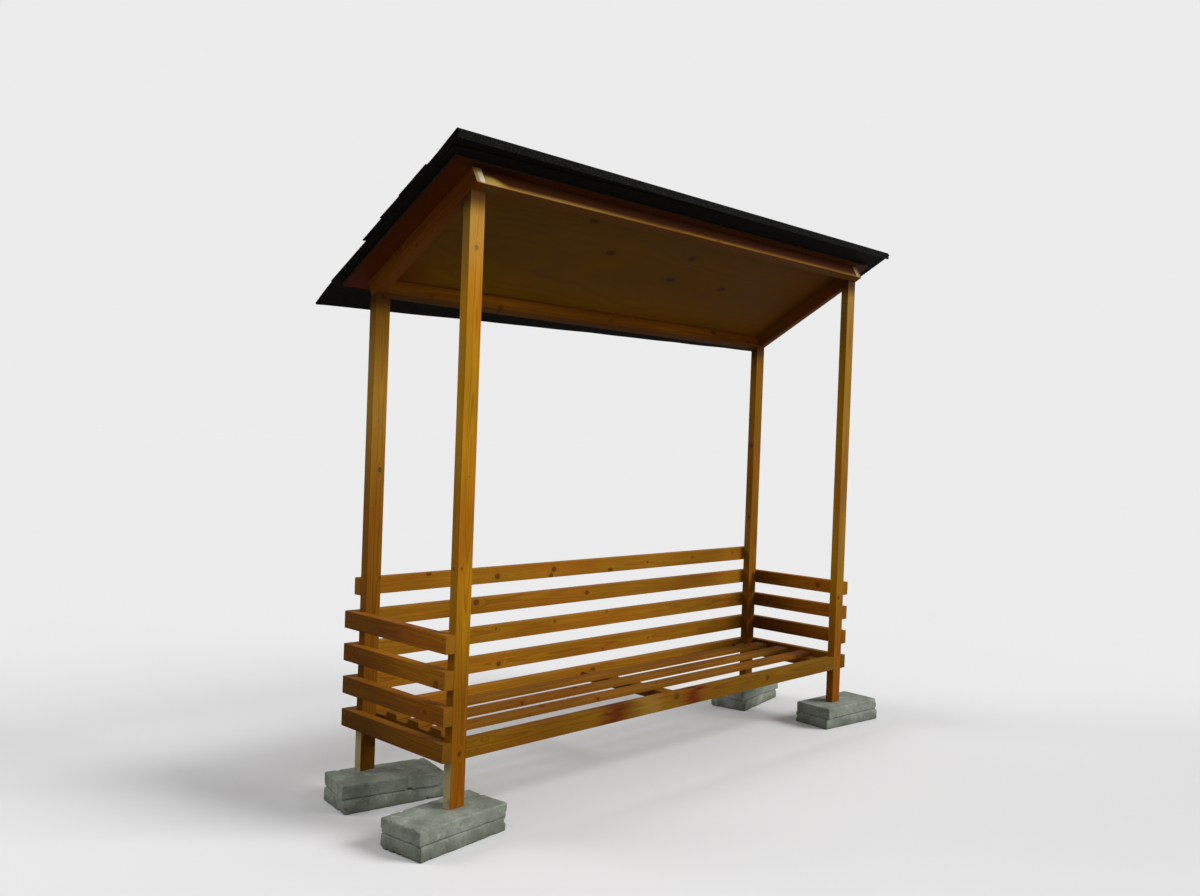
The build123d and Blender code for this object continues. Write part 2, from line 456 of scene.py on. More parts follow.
# Rail, header and beam: places along the store from its middle, and places across the face from its middle
RAIL_DAMP = ((-0.425, 0.080), (0.078, 0.055))
RAIL_DRY = (-0.214, 0.080)
HEADER_CORNER = (-1.07, -1.15)
HEADER_PAINTED_LIGHT = (-0.85, -0.35)
HEADER_LIT = (-0.010, -0.032)
BEAM_LIGHT = (-0.58, 0.27)
BEAM_TOP = (0.032, 0.014)
BEAM_FOOT = (0.006, -0.026)

# End slats: heights above the ground, and places from the store's middle to the back
SLAT_PAINTED_SHADE_HEIGHTS = (0.20, 0.64)
SLAT_PAINTED_LIGHT = (0.14, -0.24)

# Rafters' sawn ends: places across the end, and from the store's middle
CUT_PAINTED_SHADE = (0.026, 0.006)
CUT_LOWER_RIM = (-0.030, -0.022)
CUT_OUTER_RIM = (1.208, 1.200)


def worn_post_with_painted_light(node, painted_top_lighting=0.0, painted_lightening=0.0, painted_shadow=0.0):
    """Lighter high up as painted light, browner at the foot and darker under the roof as painted shade, raw
    on the outside below the slats.
    """
    low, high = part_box(node)
    outward = ALONG_STORE * (-1 if low.x < 0 else 1)
    slats_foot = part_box("end_slat_left_1")[0].z

    def wear_and_painted_light(coat, wood, grain):
        _, _, height = coat.parts(coat.place())
        # Painted light: a lighter, paler stretch part way up the rear left post
        stretch = coat.bell(ragged(height, grain.patch, 0.1), LIT_STRETCH_MIDDLE, LIT_STRETCH_SPREAD) * painted_lightening
        # Painted light: the front posts lighter higher up, and paler near the top
        light = coat.ease(ragged(height, grain.patch, 0.4), *PAINTED_LIGHT_HEIGHTS, 1.0, 1.0 + 0.26 * painted_top_lighting)
        wood = coat.shade(wood, light * (1.0 + stretch * 0.44))
        pale = coat.ease(ragged(height, grain.patch, 0.2), *PAINTED_HIGHLIGHT_HEIGHTS, 0.0, 0.27 * painted_top_lighting)
        wood = coat.mix(pale + stretch * 0.10, wood, PALE_TONE)
        # Painted shade on the front posts' sides near the top, under the roof
        side = coat.faces(ALONG_STORE, both=True) * coat.ease(height, *PAINTED_SIDE_SHADE_HEIGHTS) * painted_top_lighting
        wood = coat.shade(wood, 1.0 - side * 0.38)
        # Painted shadow: the front right post's front face darker and greyer from about 0.7 m up
        shadowed = coat.faces(-TO_BACK) * coat.ease(height, *PAINTED_SHADOW_HEIGHTS, 0.12, 1.0) * painted_shadow
        wood = coat.mix(shadowed * 0.22, coat.shade(wood, 1.0 - shadowed), PALE_TONE)
        # Painted shade: browner and darker towards the foot
        foot_shade = coat.ease(ragged(height, grain.patch, 0.2), *PAINTED_FOOT_SHADE_HEIGHTS, 0.0, 0.9)
        wood = coat.tint(foot_shade, wood, FOOT_SHADE_TINT)
        # Painted shade at the top of each post, under the roof
        wood = coat.mix(coat.ease(high.z - height, *EAVES_SHADE, 0.0, 0.90), wood, PAINTED_SHADE_TONE)
        below_slats = coat.ease(slats_foot - ragged(height, grain.streak, 0.02), *STAIN_ENDS)
        raw = coat.shade(coat.mix(grain.late, BARE_WOOD, BARE_RING), 0.82 + 0.3 * grain.patch)
        wood = coat.mix(coat.faces(outward) * below_slats, wood, raw)
        splash = coat.noise(coat.place(), scale=45.0, detail=4.0, roughness=0.65)
        soil = coat.ease(splash - (height - PAVERS_TOP) * 2.6, 0.42, 0.66, 0.0, 0.5)
        return coat.mix(soil, wood, SOIL)

    return wear_and_painted_light


def blotched_rail(coat, wood, grain):
    """Redder and darker in two places that stay damp, and paler between them."""
    x, _, _ = coat.parts(coat.place())
    x = ragged(ragged(x, grain.patch, 0.12), grain.streak, 0.16)
    for damp in RAIL_DAMP:
        wood = coat.tint(coat.bell(x - grain.across * 0.5, *damp), wood, DAMP_TINT)
    return coat.mix(coat.bell(x, *RAIL_DRY) * 0.13, wood, PALE_TONE)


def lit_and_shaded_header(coat, wood, grain):
    """Painted light along the lower edge, most at the left, and painted shade where the roofing keeps the
    light off and on the underside.
    """
    x, _, _ = coat.parts(coat.place())
    # Painted light along the lower edge, reaching higher and paler at the left corner, and painted shade
    # above it
    corner = coat.ease(x, *HEADER_CORNER)
    lit = coat.ease(ragged(grain.across, grain.patch, 6 * MM) - corner * 22 * MM, *HEADER_LIT)
    pale = corner * 0.35 + coat.ease(ragged(x, grain.patch, 0.3), *HEADER_PAINTED_LIGHT, 0.20, 0.02)
    wood = coat.mix(lit, PAINTED_SHADE_TONE, coat.mix(pale, wood, PALE_TONE))
    # Painted shade on the underside
    return coat.mix(coat.faces(-OUT_OF_ROOF) * 0.92, wood, PAINTED_UNDERSIDE_SHADE)


def lit_and_shaded_beam(coat, wood, grain):
    """Darker down its face and on the underside as painted shade, and lighter in a stretch left of its
    middle as painted light.
    """
    x, _, _ = coat.parts(coat.place())
    # Painted light in a stretch and along the top of the face, and painted shade over the whole beam, more
    # lower down and on the underside
    stretch = coat.bell(ragged(x, grain.patch, 0.3), *BEAM_LIGHT)
    lighter = (0.14 + stretch * 0.50) * coat.ease(grain.across, *BEAM_TOP)
    lower = coat.ease(ragged(grain.across, grain.streak, 8 * MM), *BEAM_FOOT, 0.0, 0.36)
    return coat.shade(wood, (0.82 + lighter) * (1.0 - lower - coat.faces(-OUT_OF_ROOF) * 0.22))


def lit_and_shaded_slat(coat, wood, grain):
    """Darker near the ground as painted shade, and lighter on top and, where it faces left, toward the front
    as painted light.
    """
    _, depth, height = coat.parts(coat.place())
    # Painted shade near the ground, then painted light toward the front and on the top faces
    wood = coat.shade(wood, coat.ease(ragged(height, grain.patch, 0.1), *SLAT_PAINTED_SHADE_HEIGHTS, 0.54, 1.0))
    painted_lightening = coat.ease(ragged(depth, grain.patch, 0.1), *SLAT_PAINTED_LIGHT, -0.26, 0.55)
    wood = coat.shade(wood, 1.0 + coat.faces(-ALONG_STORE) * painted_lightening)
    return coat.shade(wood, 1.0 + coat.faces(UP) * 0.35)


def cut_rafter(bare):
    """Front end sawn after staining and left pale, with stain run over its lower and outer rims, and painted
    shade over its upper part.
    """

    def wear_and_painted_light(coat, wood, grain):
        x, _, _ = coat.parts(coat.place())
        across = ragged(grain.across, grain.streak, 12 * MM)
        # Painted shade on the upper part of the pale end, and stain run over its lower and outer rims
        fresh = coat.faces(-DOWN_ROOF) * coat.ease(across, *CUT_PAINTED_SHADE, 0.12, 1.0) * bare
        fresh = fresh * coat.ease(across, *CUT_LOWER_RIM, 0.25, 1.0)
        fresh = fresh * coat.ease(ragged(abs(x), grain.streak, 6 * MM), *CUT_OUTER_RIM, 0.25, 1.0)
        sawn = coat.shade(coat.mix(grain.late * 0.4, FRESH_CUT, BARE_WOOD), 0.90 + 0.14 * grain.patch)
        return coat.mix(fresh, wood, sawn)

    return wear_and_painted_light


# Each post's stain, and how much painted light and shade it takes
POSTS = {
    "post_front_left": ("post", {"painted_top_lighting": 1.0}),
    "post_front_right": ("post", {"painted_top_lighting": 1.0, "painted_shadow": 0.42}),
    "post_rear_left": ("shaded_rear_post", {"painted_lightening": 1.0}),
    "post_rear_right": ("shaded_rear_post", {}),
}

for node, (stain, wear) in POSTS.items():
    wear_and_painted_light = worn_post_with_painted_light(node, **wear)
    lumber(node, stain, UP, ALONG_STORE, wear_and_painted_light=wear_and_painted_light, largest_knot=POST_KNOT_LARGEST)
lumber("rail_front", "rail", ALONG_STORE, UP, wear_and_painted_light=blotched_rail)
for row in range(1, 5):
    for hand in ("left", "right"):
        lumber(f"end_slat_{hand}_{row}", "end", TO_BACK, UP, wear_and_painted_light=lit_and_shaded_slat)
for row in range(1, 6):
    lumber(f"back_slat_{row}", "back", ALONG_STORE, UP)
bearers_low, bearers_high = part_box("floor_bearers")
lumber("floor_bearers", "floor", TO_BACK, ALONG_STORE, (bearers_high.x - bearers_low.x - LUMBER_WIDE) / 2)
boards_low, boards_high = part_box("floor_boards")
lumber("floor_boards", "floor", ALONG_STORE, TO_BACK, (boards_high.y - boards_low.y - LUMBER_WIDE) / 2)
for hand, bare in (("left", 1.0), ("right", 0.4)):
    lumber(f"rafter_{hand}", "rafter", DOWN_ROOF, OUT_OF_ROOF, wear_and_painted_light=cut_rafter(bare))
lumber("header_front", "header", ALONG_STORE, OUT_OF_ROOF, wear_and_painted_light=lit_and_shaded_header)
lumber("beam_rear", "beam", ALONG_STORE, OUT_OF_ROOF, wear_and_painted_light=lit_and_shaded_beam)

# Plywood deck

DECK_EARLY = tone(116, 80, 9)
DECK_LATE = tone(94, 60, 6)
DECK_WARM_TINT = tone(240, 190, 150)
DECK_KNOT = tone(62, 26, 5)
# The overhang's heavier stain, also used as painted shade along the frame, and a dark tone for painted shade
# at the beam
DECK_EAVES = tone(104, 46, 8)
DECK_JOINT = tone(104, 42, 3)
PLY_PALE = tone(96, 60, 24)
PLY_DARK = tone(56, 30, 12)

DECK_THICK = 12 * MM
DECK_LAYERS = 5
VENEER_YEAR = ((0.0, 0.6), (0.20, 0.0), (0.50, 0.15), (0.90, 1.0), (1.0, 0.6))

# Each knot's place along the store and down from the header, as the photograph shows them
DECK_KNOTS = ((0.148, 0.183), (-0.300, 0.254), (0.163, 0.339), (0.530, 0.337), (-0.538, 0.097))
DECK_KNOT_SIZE = 14 * MM

# Noise over the sheet: steps per metre along the store and down the roof, and the level of the cut
FLOW = (0.55, 2.3, 4.0)
WAVER = (2.2, 11.0, 7.0)
VENEER_FIBRE = (10.0, 380.0, 1.0)
VENEER_PATCH = (1.9, 3.4, 2.0)

# Marks of the stain, and of painted light and shade: places along the store, and distances from the rear
# beam and inwards from the frame
WARMER_ALONG = (-0.6, 1.5)
NEAR_BEAM = (0.30, 0.03)
PAINTED_SHADE_EDGE = (0.0, 0.030)
JOINT_LINE, JOINT_ALONG = (0.018, 0.050), (0.2, -0.9)
NOOK, NOOK_ALONG = (0.30, 0.06), (-0.90, -1.12)
OVERHANG = (2 * MM, -2 * MM)
OVERHANG_DEEPER = (-0.01, -0.08)
CORNER_BEGINS, CORNER_ENDS = (-1.25, -1.21), (-0.94, -1.06)
FRONT_STRIP = (0.0, -0.01)

deck_low, deck_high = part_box("roof_deck")
deck_edge = Vector((0, deck_low.y, deck_high.z - DECK_THICK * OUT_OF_ROOF.z))
deck_foot = Vector((0, deck_high.y, deck_low.z + DECK_THICK * OUT_OF_ROOF.z))
deck_run = (deck_foot - deck_edge).dot(DOWN_ROOF)
header_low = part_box("header_front")[0]
header_down = (Vector((0, header_low.y, header_low.z)) - deck_edge).dot(DOWN_ROOF)
beam_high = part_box("beam_rear")[1]
beam_down = (Vector((0, beam_high.y, beam_high.z)) - deck_edge).dot(DOWN_ROOF)


def sheet_noise(coat, x, y, scales, **looks):
    """Noise over the sheet."""
    along, down, level = scales
    return coat.noise(coat.vector(x * along, y * down, level), **looks)


def veneer(coat, x, y, fibre, patch):
    """Rotary-cut veneer, stained: its colour, its late wood, and the knots that the grain bends round."""
    away = None
    for knot_x, knot_down in DECK_KNOTS:
        off_x, off_y = x - knot_x, y - (header_down + knot_down)
        here = (off_x * off_x * 0.35 + off_y * off_y) ** 0.5
        away = here if away is None else coat.maths("MINIMUM", away, here)
    near = coat.bell(away, 0.0, DECK_KNOT_SIZE * 2.6)
    knot = coat.ease(away, DECK_KNOT_SIZE * 1.25, DECK_KNOT_SIZE * 0.75)
    flow = sheet_noise(coat, x, y, FLOW)
    waver = sheet_noise(coat, x, y, WAVER)
    late = coat.rings(flow * 15.0 + y * 11.0 + waver * 1.5 - near * 1.3, VENEER_YEAR, 0.30)
    face = coat.mix(late * 0.45, DECK_EARLY, DECK_LATE)
    face = coat.tint(coat.ease(ragged(x, patch, 1.6), *WARMER_ALONG, 0.0, 0.55), face, DECK_WARM_TINT)
    face = coat.shade(face, coat.ease(patch, 0.25, 0.75, 0.84, 1.14) * (0.90 + 0.2 * fibre))
    face = coat.mix(coat.ease(near, 0.2, 0.95, 0.0, 0.4), face, DECK_LATE)
    return coat.mix(knot * 0.75, face, DECK_KNOT), late, knot


def stain_with_painted_light_and_shade(coat, face, x, y, patch):
    """Redder and darker outside the roof's frame, from heavier stain deepened by painted shade, painted
    shade along the frame and at the beam, and painted light nearer the beam.
    """
    from_beam = beam_down - y
    inside = coat.maths("MINIMUM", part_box("rafter_right")[1].x - abs(x), y - header_down)
    inside = coat.maths("MINIMUM", inside, from_beam)
    # Painted light nearer the beam
    face = coat.shade(face, coat.ease(ragged(from_beam, patch, 0.1), *NEAR_BEAM, 1.0, 1.55))
    # Painted shade along the inside of the frame
    edge_shade = coat.ease(ragged(inside, patch, 0.02), *PAINTED_SHADE_EDGE, 0.40, 0.0)
    face = coat.mix(edge_shade, face, coat.shade(DECK_EAVES, 1.15))
    # Painted shade in the joint at the beam, and in the nook at its left end
    joint = coat.ease(ragged(from_beam, patch, 0.02), *JOINT_LINE, 0.85, 0.0)
    joint = joint * coat.ease(x, *JOINT_ALONG, 0.55, 1.0)
    nook = coat.ease(from_beam, *NOOK, 0.0, 0.55) * coat.ease(x, *NOOK_ALONG)
    face = coat.mix(coat.maths("MAXIMUM", joint, nook), face, DECK_JOINT)
    # Outside the frame: heavier stain, with painted shade deepening toward the edges and under the front
    # roofing, most at the left corner
    depth = coat.ease(inside, *OVERHANG_DEEPER, 0.9, 0.50) * (0.85 + 0.3 * patch)
    corner = coat.ease(x, *CORNER_BEGINS) * coat.ease(x, *CORNER_ENDS)
    front = 1.0 - coat.ease(y - header_down, *FRONT_STRIP) * (0.42 + 0.48 * corner)
    return coat.mix(coat.ease(inside, *OVERHANG, 0.0, 0.96), face, coat.shade(DECK_EAVES, depth * front))


def plywood():
    """A sheet with a stained face, and its layers showing on its edges."""
    coat = Finish("deck_plywood", Specular_IOR_Level=0.06)
    x, y, z = coat.parts(coat.place(deck_edge, turn_to(ALONG_STORE, DOWN_ROOF)))
    fibre = sheet_noise(coat, x, y, VENEER_FIBRE, detail=3.0, roughness=0.6)
    patch = sheet_noise(coat, x, y, VENEER_PATCH, detail=4.0, roughness=0.55)
    face, late, knot = veneer(coat, x, y, fibre, patch)
    face = stain_with_painted_light_and_shade(coat, face, x, y, patch)
    layer = coat.maths("PINGPONG", z / (DECK_THICK / DECK_LAYERS), 1.0)
    layers = coat.shade(coat.mix(coat.ease(layer, 0.35, 0.65), PLY_PALE, PLY_DARK), 0.8 + 0.4 * fibre)
    edge = 1.0 - coat.faces(OUT_OF_ROOF, both=True)
    rough = 0.60 + 0.22 * patch - 0.08 * late + 0.15 * edge
    height = late * 0.25 + fibre * 0.5 - knot * 0.4
    colour = coat.mix(edge, face, layers)
    return coat.surface(Base_Color=colour, Roughness=rough, Normal=coat.bump(height, 0.5 * MM, 0.5))


dress("roof_deck", plywood())

# Asphalt shingles

GRIT_DARK = tone(12, 12, 10)
GRIT_MID = tone(25, 25, 22)
GRIT_PALE = tone(64, 62, 56)
ASPHALT = tone(6, 4, 3)
GRIT_SIZE = 1.7 * MM


def shingle(node, tab_width):
    """Black mineral grit on the weather side, each tab in its own tone, and plain asphalt below."""
    draw = random.Random(node)
    coat = Finish(f"{node}_grit", Specular_IOR_Level=0.05)
    point = coat.place()
    x, _, _ = coat.parts(point)
    tab = coat.maths("FLOOR", (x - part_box(node)[0].x) / tab_width + draw.uniform(0, 90))
    cloud = coat.noise(point, scale=14.0, detail=4.0, roughness=0.6)
    grain = coat.cells(point, scale=1 / GRIT_SIZE)
    chance, second_chance, _ = coat.parts(grain.other("Color"))
    grit = coat.mix(coat.ease(chance, 0.35, 0.75), GRIT_DARK, GRIT_MID)
    grit = coat.mix(coat.ease(second_chance, 0.90, 0.97), grit, GRIT_PALE)
    blend = coat.ease(coat.chance(tab), 0.0, 1.0, 0.78, 1.22)
    grit = coat.shade(grit, blend * coat.ease(cloud, 0.3, 0.7, 0.82, 1.2))
    below = coat.ease(coat.facing(OUT_OF_ROOF), 0.35, 0.15) * coat.ease(coat.facing(TO_BACK), -0.6, -0.4)
    colour = coat.mix(below, grit, coat.shade(ASPHALT, 0.8 + 0.5 * cloud))
    rough = 0.88 - 0.16 * below + 0.10 * cloud
    height = (1.0 - coat.ease(grain, 0.1, 0.8)) * (1.0 - below) + cloud * 1.5
    return coat.surface(Base_Color=colour, Roughness=rough, Normal=coat.bump(height, 0.6 * MM, 0.7))


# Rows of shingles, bent over the deck's edges as they have settled in use

ASKEW = math.radians(1.3)
ALONG_ROW = ALONG_STORE * math.cos(ASKEW) - DOWN_ROOF * math.sin(ASKEW)
DOWN_ROW = ALONG_STORE * math.sin(ASKEW) + DOWN_ROOF * math.cos(ASKEW)
EXPOSURE = 127 * MM
ROW_CELL = 24 * MM
FOOT_CUTS = (12 * MM, 30 * MM, 55 * MM, 88 * MM, EXPOSURE)
WAVE = 1.1 * MM
WAVE_BEGINS, WAVE_FULL = 20 * MM, 170 * MM
WAVES_ALONG, WAVES_DOWN, WAVE_LEVEL = 2.3, 3.1, 4.0
FOOT_LIFT = 2.2 * MM
LIFTS_ALONG = 4.2
SIDE_REACH, SIDE_SAG = 75 * MM, 5 * MM
EAVE_REACH, EAVE_SAG = 135 * MM, 13 * MM
EAVE_SAG_RIGHT, EAVE_SAG_FROM, EAVE_SAG_WIDTH = 0.25, 0.1, 1.4
CAP_SAG = 7.8 * MM
CAP_BEND = (-0.5 * MM, 3.0 * MM)
HELD_WIDTH = 130 * MM
SHARP_BEND = math.radians(35)

cap_fold = (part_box("shingle_cap")[0].y - deck_edge.y) / DOWN_ROOF.y
under_cap = min(v.co.dot(ALONG_ROW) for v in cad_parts["shingle_course_6"].data.vertices)


def cut_across(made, way, places):
    """Cuts a mesh builder's faces by planes square to a direction."""
    for place in places:
        parts = made.verts[:] + made.edges[:] + made.faces[:]
        bmesh.ops.bisect_plane(made, geom=parts, plane_co=way * place, plane_no=way, dist=1e-6)


def settled(point, foot, drift, is_cap):
    """How far a point of the roofing has risen or sunk, in metres."""
    x, down, along_row = point.x, (point - deck_edge).dot(DOWN_ROOF), point.dot(ALONG_ROW)
    side = max(0.0, abs(x) - deck_high.x) / SIDE_REACH
    eave = max(0.0, down - deck_run) / EAVE_REACH
    leftward = EAVE_SAG_RIGHT + (1 - EAVE_SAG_RIGHT) * share((EAVE_SAG_FROM - x) / EAVE_SAG_WIDTH)
    loose = share((down - cap_fold) / HELD_WIDTH)
    sag = SIDE_SAG * loose * side ** 2 + EAVE_SAG * leftward * eave ** 1.6
    wavy = share((down - WAVE_BEGINS) / (WAVE_FULL - WAVE_BEGINS))
    wave = noise.noise(Vector((x * WAVES_ALONG, down * WAVES_DOWN, WAVE_LEVEL)))
    rise = WAVE * wavy * (0.5 + 0.5 * wave)
    if is_cap:
        past = under_cap - CAP_BEND[0] - along_row
        sag += CAP_SAG * loose * share(past / (CAP_BEND[1] - CAP_BEND[0]))
    else:
        bare = max(0.0, 1.0 - (foot - point.dot(DOWN_ROW)) / EXPOSURE)
        rise += FOOT_LIFT * bare ** 2 * max(0.0, 0.35 + noise.noise(Vector((x * LIFTS_ALONG, drift, 0.0))))
    return rise - sag


def bent_row(node, finish):
    """A row of the roofing that waves a little, lifts at its foot and sags where nothing carries it."""
    drift = random.Random(node).uniform(0, 90)
    is_cap = node == "shingle_cap"
    made = merged_copy(node, 0.01)
    along = [v.co.dot(ALONG_ROW) for v in made.verts]
    foot = max(v.co.dot(DOWN_ROW) for v in made.verts)
    steps = round((max(along) - min(along)) / ROW_CELL)
    cut_across(made, ALONG_ROW, [min(along) + (step + 0.5) * ROW_CELL for step in range(steps)])
    cut_across(made, DOWN_ROW, [foot - cut for cut in FOOT_CUTS])
    if is_cap:
        cut_across(made, ALONG_ROW, [under_cap - bend for bend in CAP_BEND])
    for vertex in made.verts:
        vertex.co.z += settled(vertex.co, foot, drift, is_cap)
    bmesh.ops.triangulate(made, faces=[face for face in made.faces if len(face.verts) > 4])
    mesh = finished_mesh(made, f"{node}_laid")
    mesh.shade_smooth()
    mesh.set_sharp_from_angle(angle=SHARP_BEND)
    mesh.materials.append(finish)
    laid = add(f"{node}_laid", mesh)
    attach(laid, "root")
    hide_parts(node)
    return laid


# Three strips make a row, with a cut of a millimetre between them, and three tabs a strip
starter_low, starter_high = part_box("shingle_starter")
strip_length = (starter_high.x - starter_low.x + 1 * MM) / 3
tab_width = strip_length / 3
bent_row("shingle_starter", shingle("shingle_starter", tab_width))
for row in range(1, 7):
    bent_row(f"shingle_course_{row}", shingle(f"shingle_course_{row}", tab_width))
laid_cap = bent_row("shingle_cap", shingle("shingle_cap", strip_length))

# Concrete pavers

CONCRETE = tone(149, 157, 143)
CONCRETE_DARK = tone(115, 121, 109)
CONCRETE_PALE = tone(186, 190, 176)
PEBBLE = tone(122, 116, 104)
PIT = tone(60, 62, 54)
DAMP = tone(78, 84, 66)
DAMP_HEIGHTS = (0.045, 0.0)

PAVER_CELL = 4 * MM
PAVER_EDGE = 6 * MM
PAVER_SKIN = 0.9 * MM
WEAR_STEPS, SKIN_STEPS, CHIP_STEPS = 28, 60, 130
PAVER_CHIPS = 9
CHIP_SIZES = (5 * MM, 13 * MM)
CHIP_ROUGH = 4 * MM
CHIP_DEEPEST = 12 * MM


def concrete():
    """Cast concrete: sand grain, pits, small stones, pale bloom, and damp soil marks near the ground."""
    coat = Finish("paver_concrete", Specular_IOR_Level=0.3)
    point = coat.place()
    _, _, z = coat.parts(point)
    sand = coat.noise(point, scale=700.0, detail=3.0, roughness=0.7)
    cloud = coat.noise(point, scale=9.0, detail=5.0, roughness=0.6)
    bloom = coat.noise(point, scale=22.0, detail=4.0, roughness=0.6)
    stone = coat.cells(point, scale=120.0)
    stone_chance, _, _ = coat.parts(stone.other("Color"))
    stones = coat.ease(stone, 0.42, 0.26) * coat.ease(stone_chance, 0.72, 0.80)
    pit = coat.cells(point, scale=210.0)
    pit_chance, _, _ = coat.parts(pit.other("Color"))
    pits = coat.ease(pit, 0.34, 0.10) * coat.ease(pit_chance, 0.78, 0.84)
    damp = coat.ease(ragged(z, cloud, 0.08), *DAMP_HEIGHTS, 0.0, 0.6)
    colour = coat.mix(coat.ease(cloud, 0.32, 0.68), CONCRETE_DARK, CONCRETE)
    colour = coat.mix(coat.ease(bloom, 0.55, 0.75, 0.0, 0.6), colour, CONCRETE_PALE)
    colour = coat.shade(colour, 0.78 + 0.44 * sand)
    for amount, mark in ((stones * 0.7, PEBBLE), (pits * 0.8, PIT), (damp, DAMP)):
        colour = coat.mix(amount, colour, mark)
    rough = 0.80 + 0.14 * sand - 0.12 * damp
    height = sand * 0.6 + cloud * 1.2 + stones * 0.4 - pits * 1.8
    return coat.surface(Base_Color=colour, Roughness=rough, Normal=coat.bump(height, 1.2 * MM, 0.8))


def gridded_box(size, cell):
    """A mesh builder with a box round the origin, cut into cells of about one size."""
    made = bmesh.new()
    bmesh.ops.create_cube(made, size=1.0, matrix=Matrix.Diagonal((*size, 1.0)))
    for axis in range(3):
        across = [e for e in made.edges if abs((e.verts[0].co - e.verts[1].co)[axis]) > 0.9 * size[axis]]
        bmesh.ops.subdivide_edges(made, edges=across, cuts=round(size[axis] / cell) - 1, use_grid_fill=True)
    return made


def paver_size(node):
    """A paver's size along its own long side, across it and upwards, and how far that side is turned."""
    block = merged_copy(node, 0.02)
    level = [e for e in block.edges if abs(e.verts[0].co.z - e.verts[1].co.z) < HAIR]
    longest = max(level, key=lambda e: e.calc_length())
    run = (longest.verts[0].co - longest.verts[1].co).normalized()
    spans = [[v.co.dot(way) for v in block.verts] for way in (run, Vector((-run.y, run.x, 0)), UP)]
    block.free()
    return Vector([max(span) - min(span) for span in spans]), math.atan2(run.y, run.x)


def chip_places(draw, half):
    """Points on a paver's edges, and a few on its corners, with the size of the chip at each."""
    chips = []
    for _ in range(PAVER_CHIPS):
        at = Vector([draw.choice((-1, 1)) * h for h in half])
        free = draw.randrange(3)
        if draw.random() < 0.75:
            at[free] = draw.uniform(-1, 1) * half[free]
        chips.append((at, draw.uniform(*CHIP_SIZES)))
    return chips


def worn_paver(node, finish):
    """A paver with rounded, chipped arrises and a rough skin, cut only inwards from the square block."""
    draw = random.Random(node)
    size, turn = paver_size(node)
    half = size / 2
    made = gridded_box(size, PAVER_CELL)
    chips = chip_places(draw, half)
    drift = Vector([draw.uniform(-9, 9) for _ in range(3)])
    for vertex in made.verts:
        point = vertex.co.copy()
        wear = PAVER_EDGE * (0.8 + 0.7 * noise.noise(point * WEAR_STEPS + drift))
        core = Vector([max(-h + wear, min(h - wear, c)) for c, h in zip(point, half)])
        out = point - core
        if out.length > 1e-9:
            out.normalize()
            point = core + out * wear
        skin = abs(noise.fractal(point * SKIN_STEPS + drift, 1.0, 2.0, 4)) * PAVER_SKIN
        for at, reach in chips:
            broken = reach - (point - at).length + CHIP_ROUGH * noise.noise(point * CHIP_STEPS + drift)
            skin += max(0.0, broken)
        vertex.co = point - out * min(skin, CHIP_DEEPEST)
    made.transform(Matrix.Translation(middle(node)) @ Matrix.Rotation(turn, 4, "Z"))
    mesh = finished_mesh(made, f"{node}_worn")
    mesh.shade_smooth()
    mesh.materials.append(finish)
    worn = add(f"{node}_worn", mesh)
    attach(worn, "root")
    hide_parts(node)


concrete_finish = concrete()
for corner in ("front_left", "front_right", "rear_left", "rear_right"):
    for tier in ("lower", "upper"):
        worn_paver(f"paver_{corner}_{tier}", concrete_finish)

# Screws and nails

SCREW_WIDTH = 8.4 * MM
SCREW_PAIR = (-16 * MM, 16 * MM)
NAIL_WIDTH = 9.5 * MM
NAILS_ALONG_STRIP = (0.08, 0.36, 0.64, 0.92)
NAILS_FROM_EDGE = 30 * MM
HAND_SLIP = 2.5 * MM
HEAD_SIDES = 12
SPIN_SEED = 11

# Radii and heights of a head one unit wide, and its cross recess: arm's length, half its width, and floor
SCREW_PROFILE = ((0.46, -0.04), (0.5, 0.02), (0.5, 0.05), (0.38, 0.12))
SCREW_CROSS = (0.25, 0.07, 0.03)
NAIL_PROFILE = ((0.46, -0.04), (0.5, 0.02), (0.48, 0.08), (0.36, 0.11))

TAN_COAT = tone(112, 76, 34)
ZINC_COAT = tone(118, 118, 114)
RUST = tone(92, 48, 24)


def turned_head(name, profile, cross=None):
    """A head turned from a profile of radii and heights, with a cross recess or a flat top."""
    made = bmesh.new()
    angles = [math.tau * (side - 0.5) / HEAD_SIDES for side in range(HEAD_SIDES)]
    rings = []
    for radius, height in profile:
        rings.append([made.verts.new((radius * math.cos(a), radius * math.sin(a), height)) for a in angles])
    if cross:
        arm, half, floor = cross
        quarter = [(arm, -half), (arm, half), (half, half)]
        outline = []
        for _ in range(4):
            outline += quarter
            quarter = [(-y, x) for x, y in quarter]
        for height in (profile[-1][1], floor):
            rings.append([made.verts.new((x, y, height)) for x, y in outline])
    for below, above in zip(rings, rings[1:]):
        for side in range(HEAD_SIDES):
            after = (side + 1) % HEAD_SIDES
            made.faces.new((below[side], below[after], above[after], above[side]))
    made.faces.new(rings[-1])
    made.faces.new(rings[0][::-1])
    return add(name, finished_mesh(made, name))


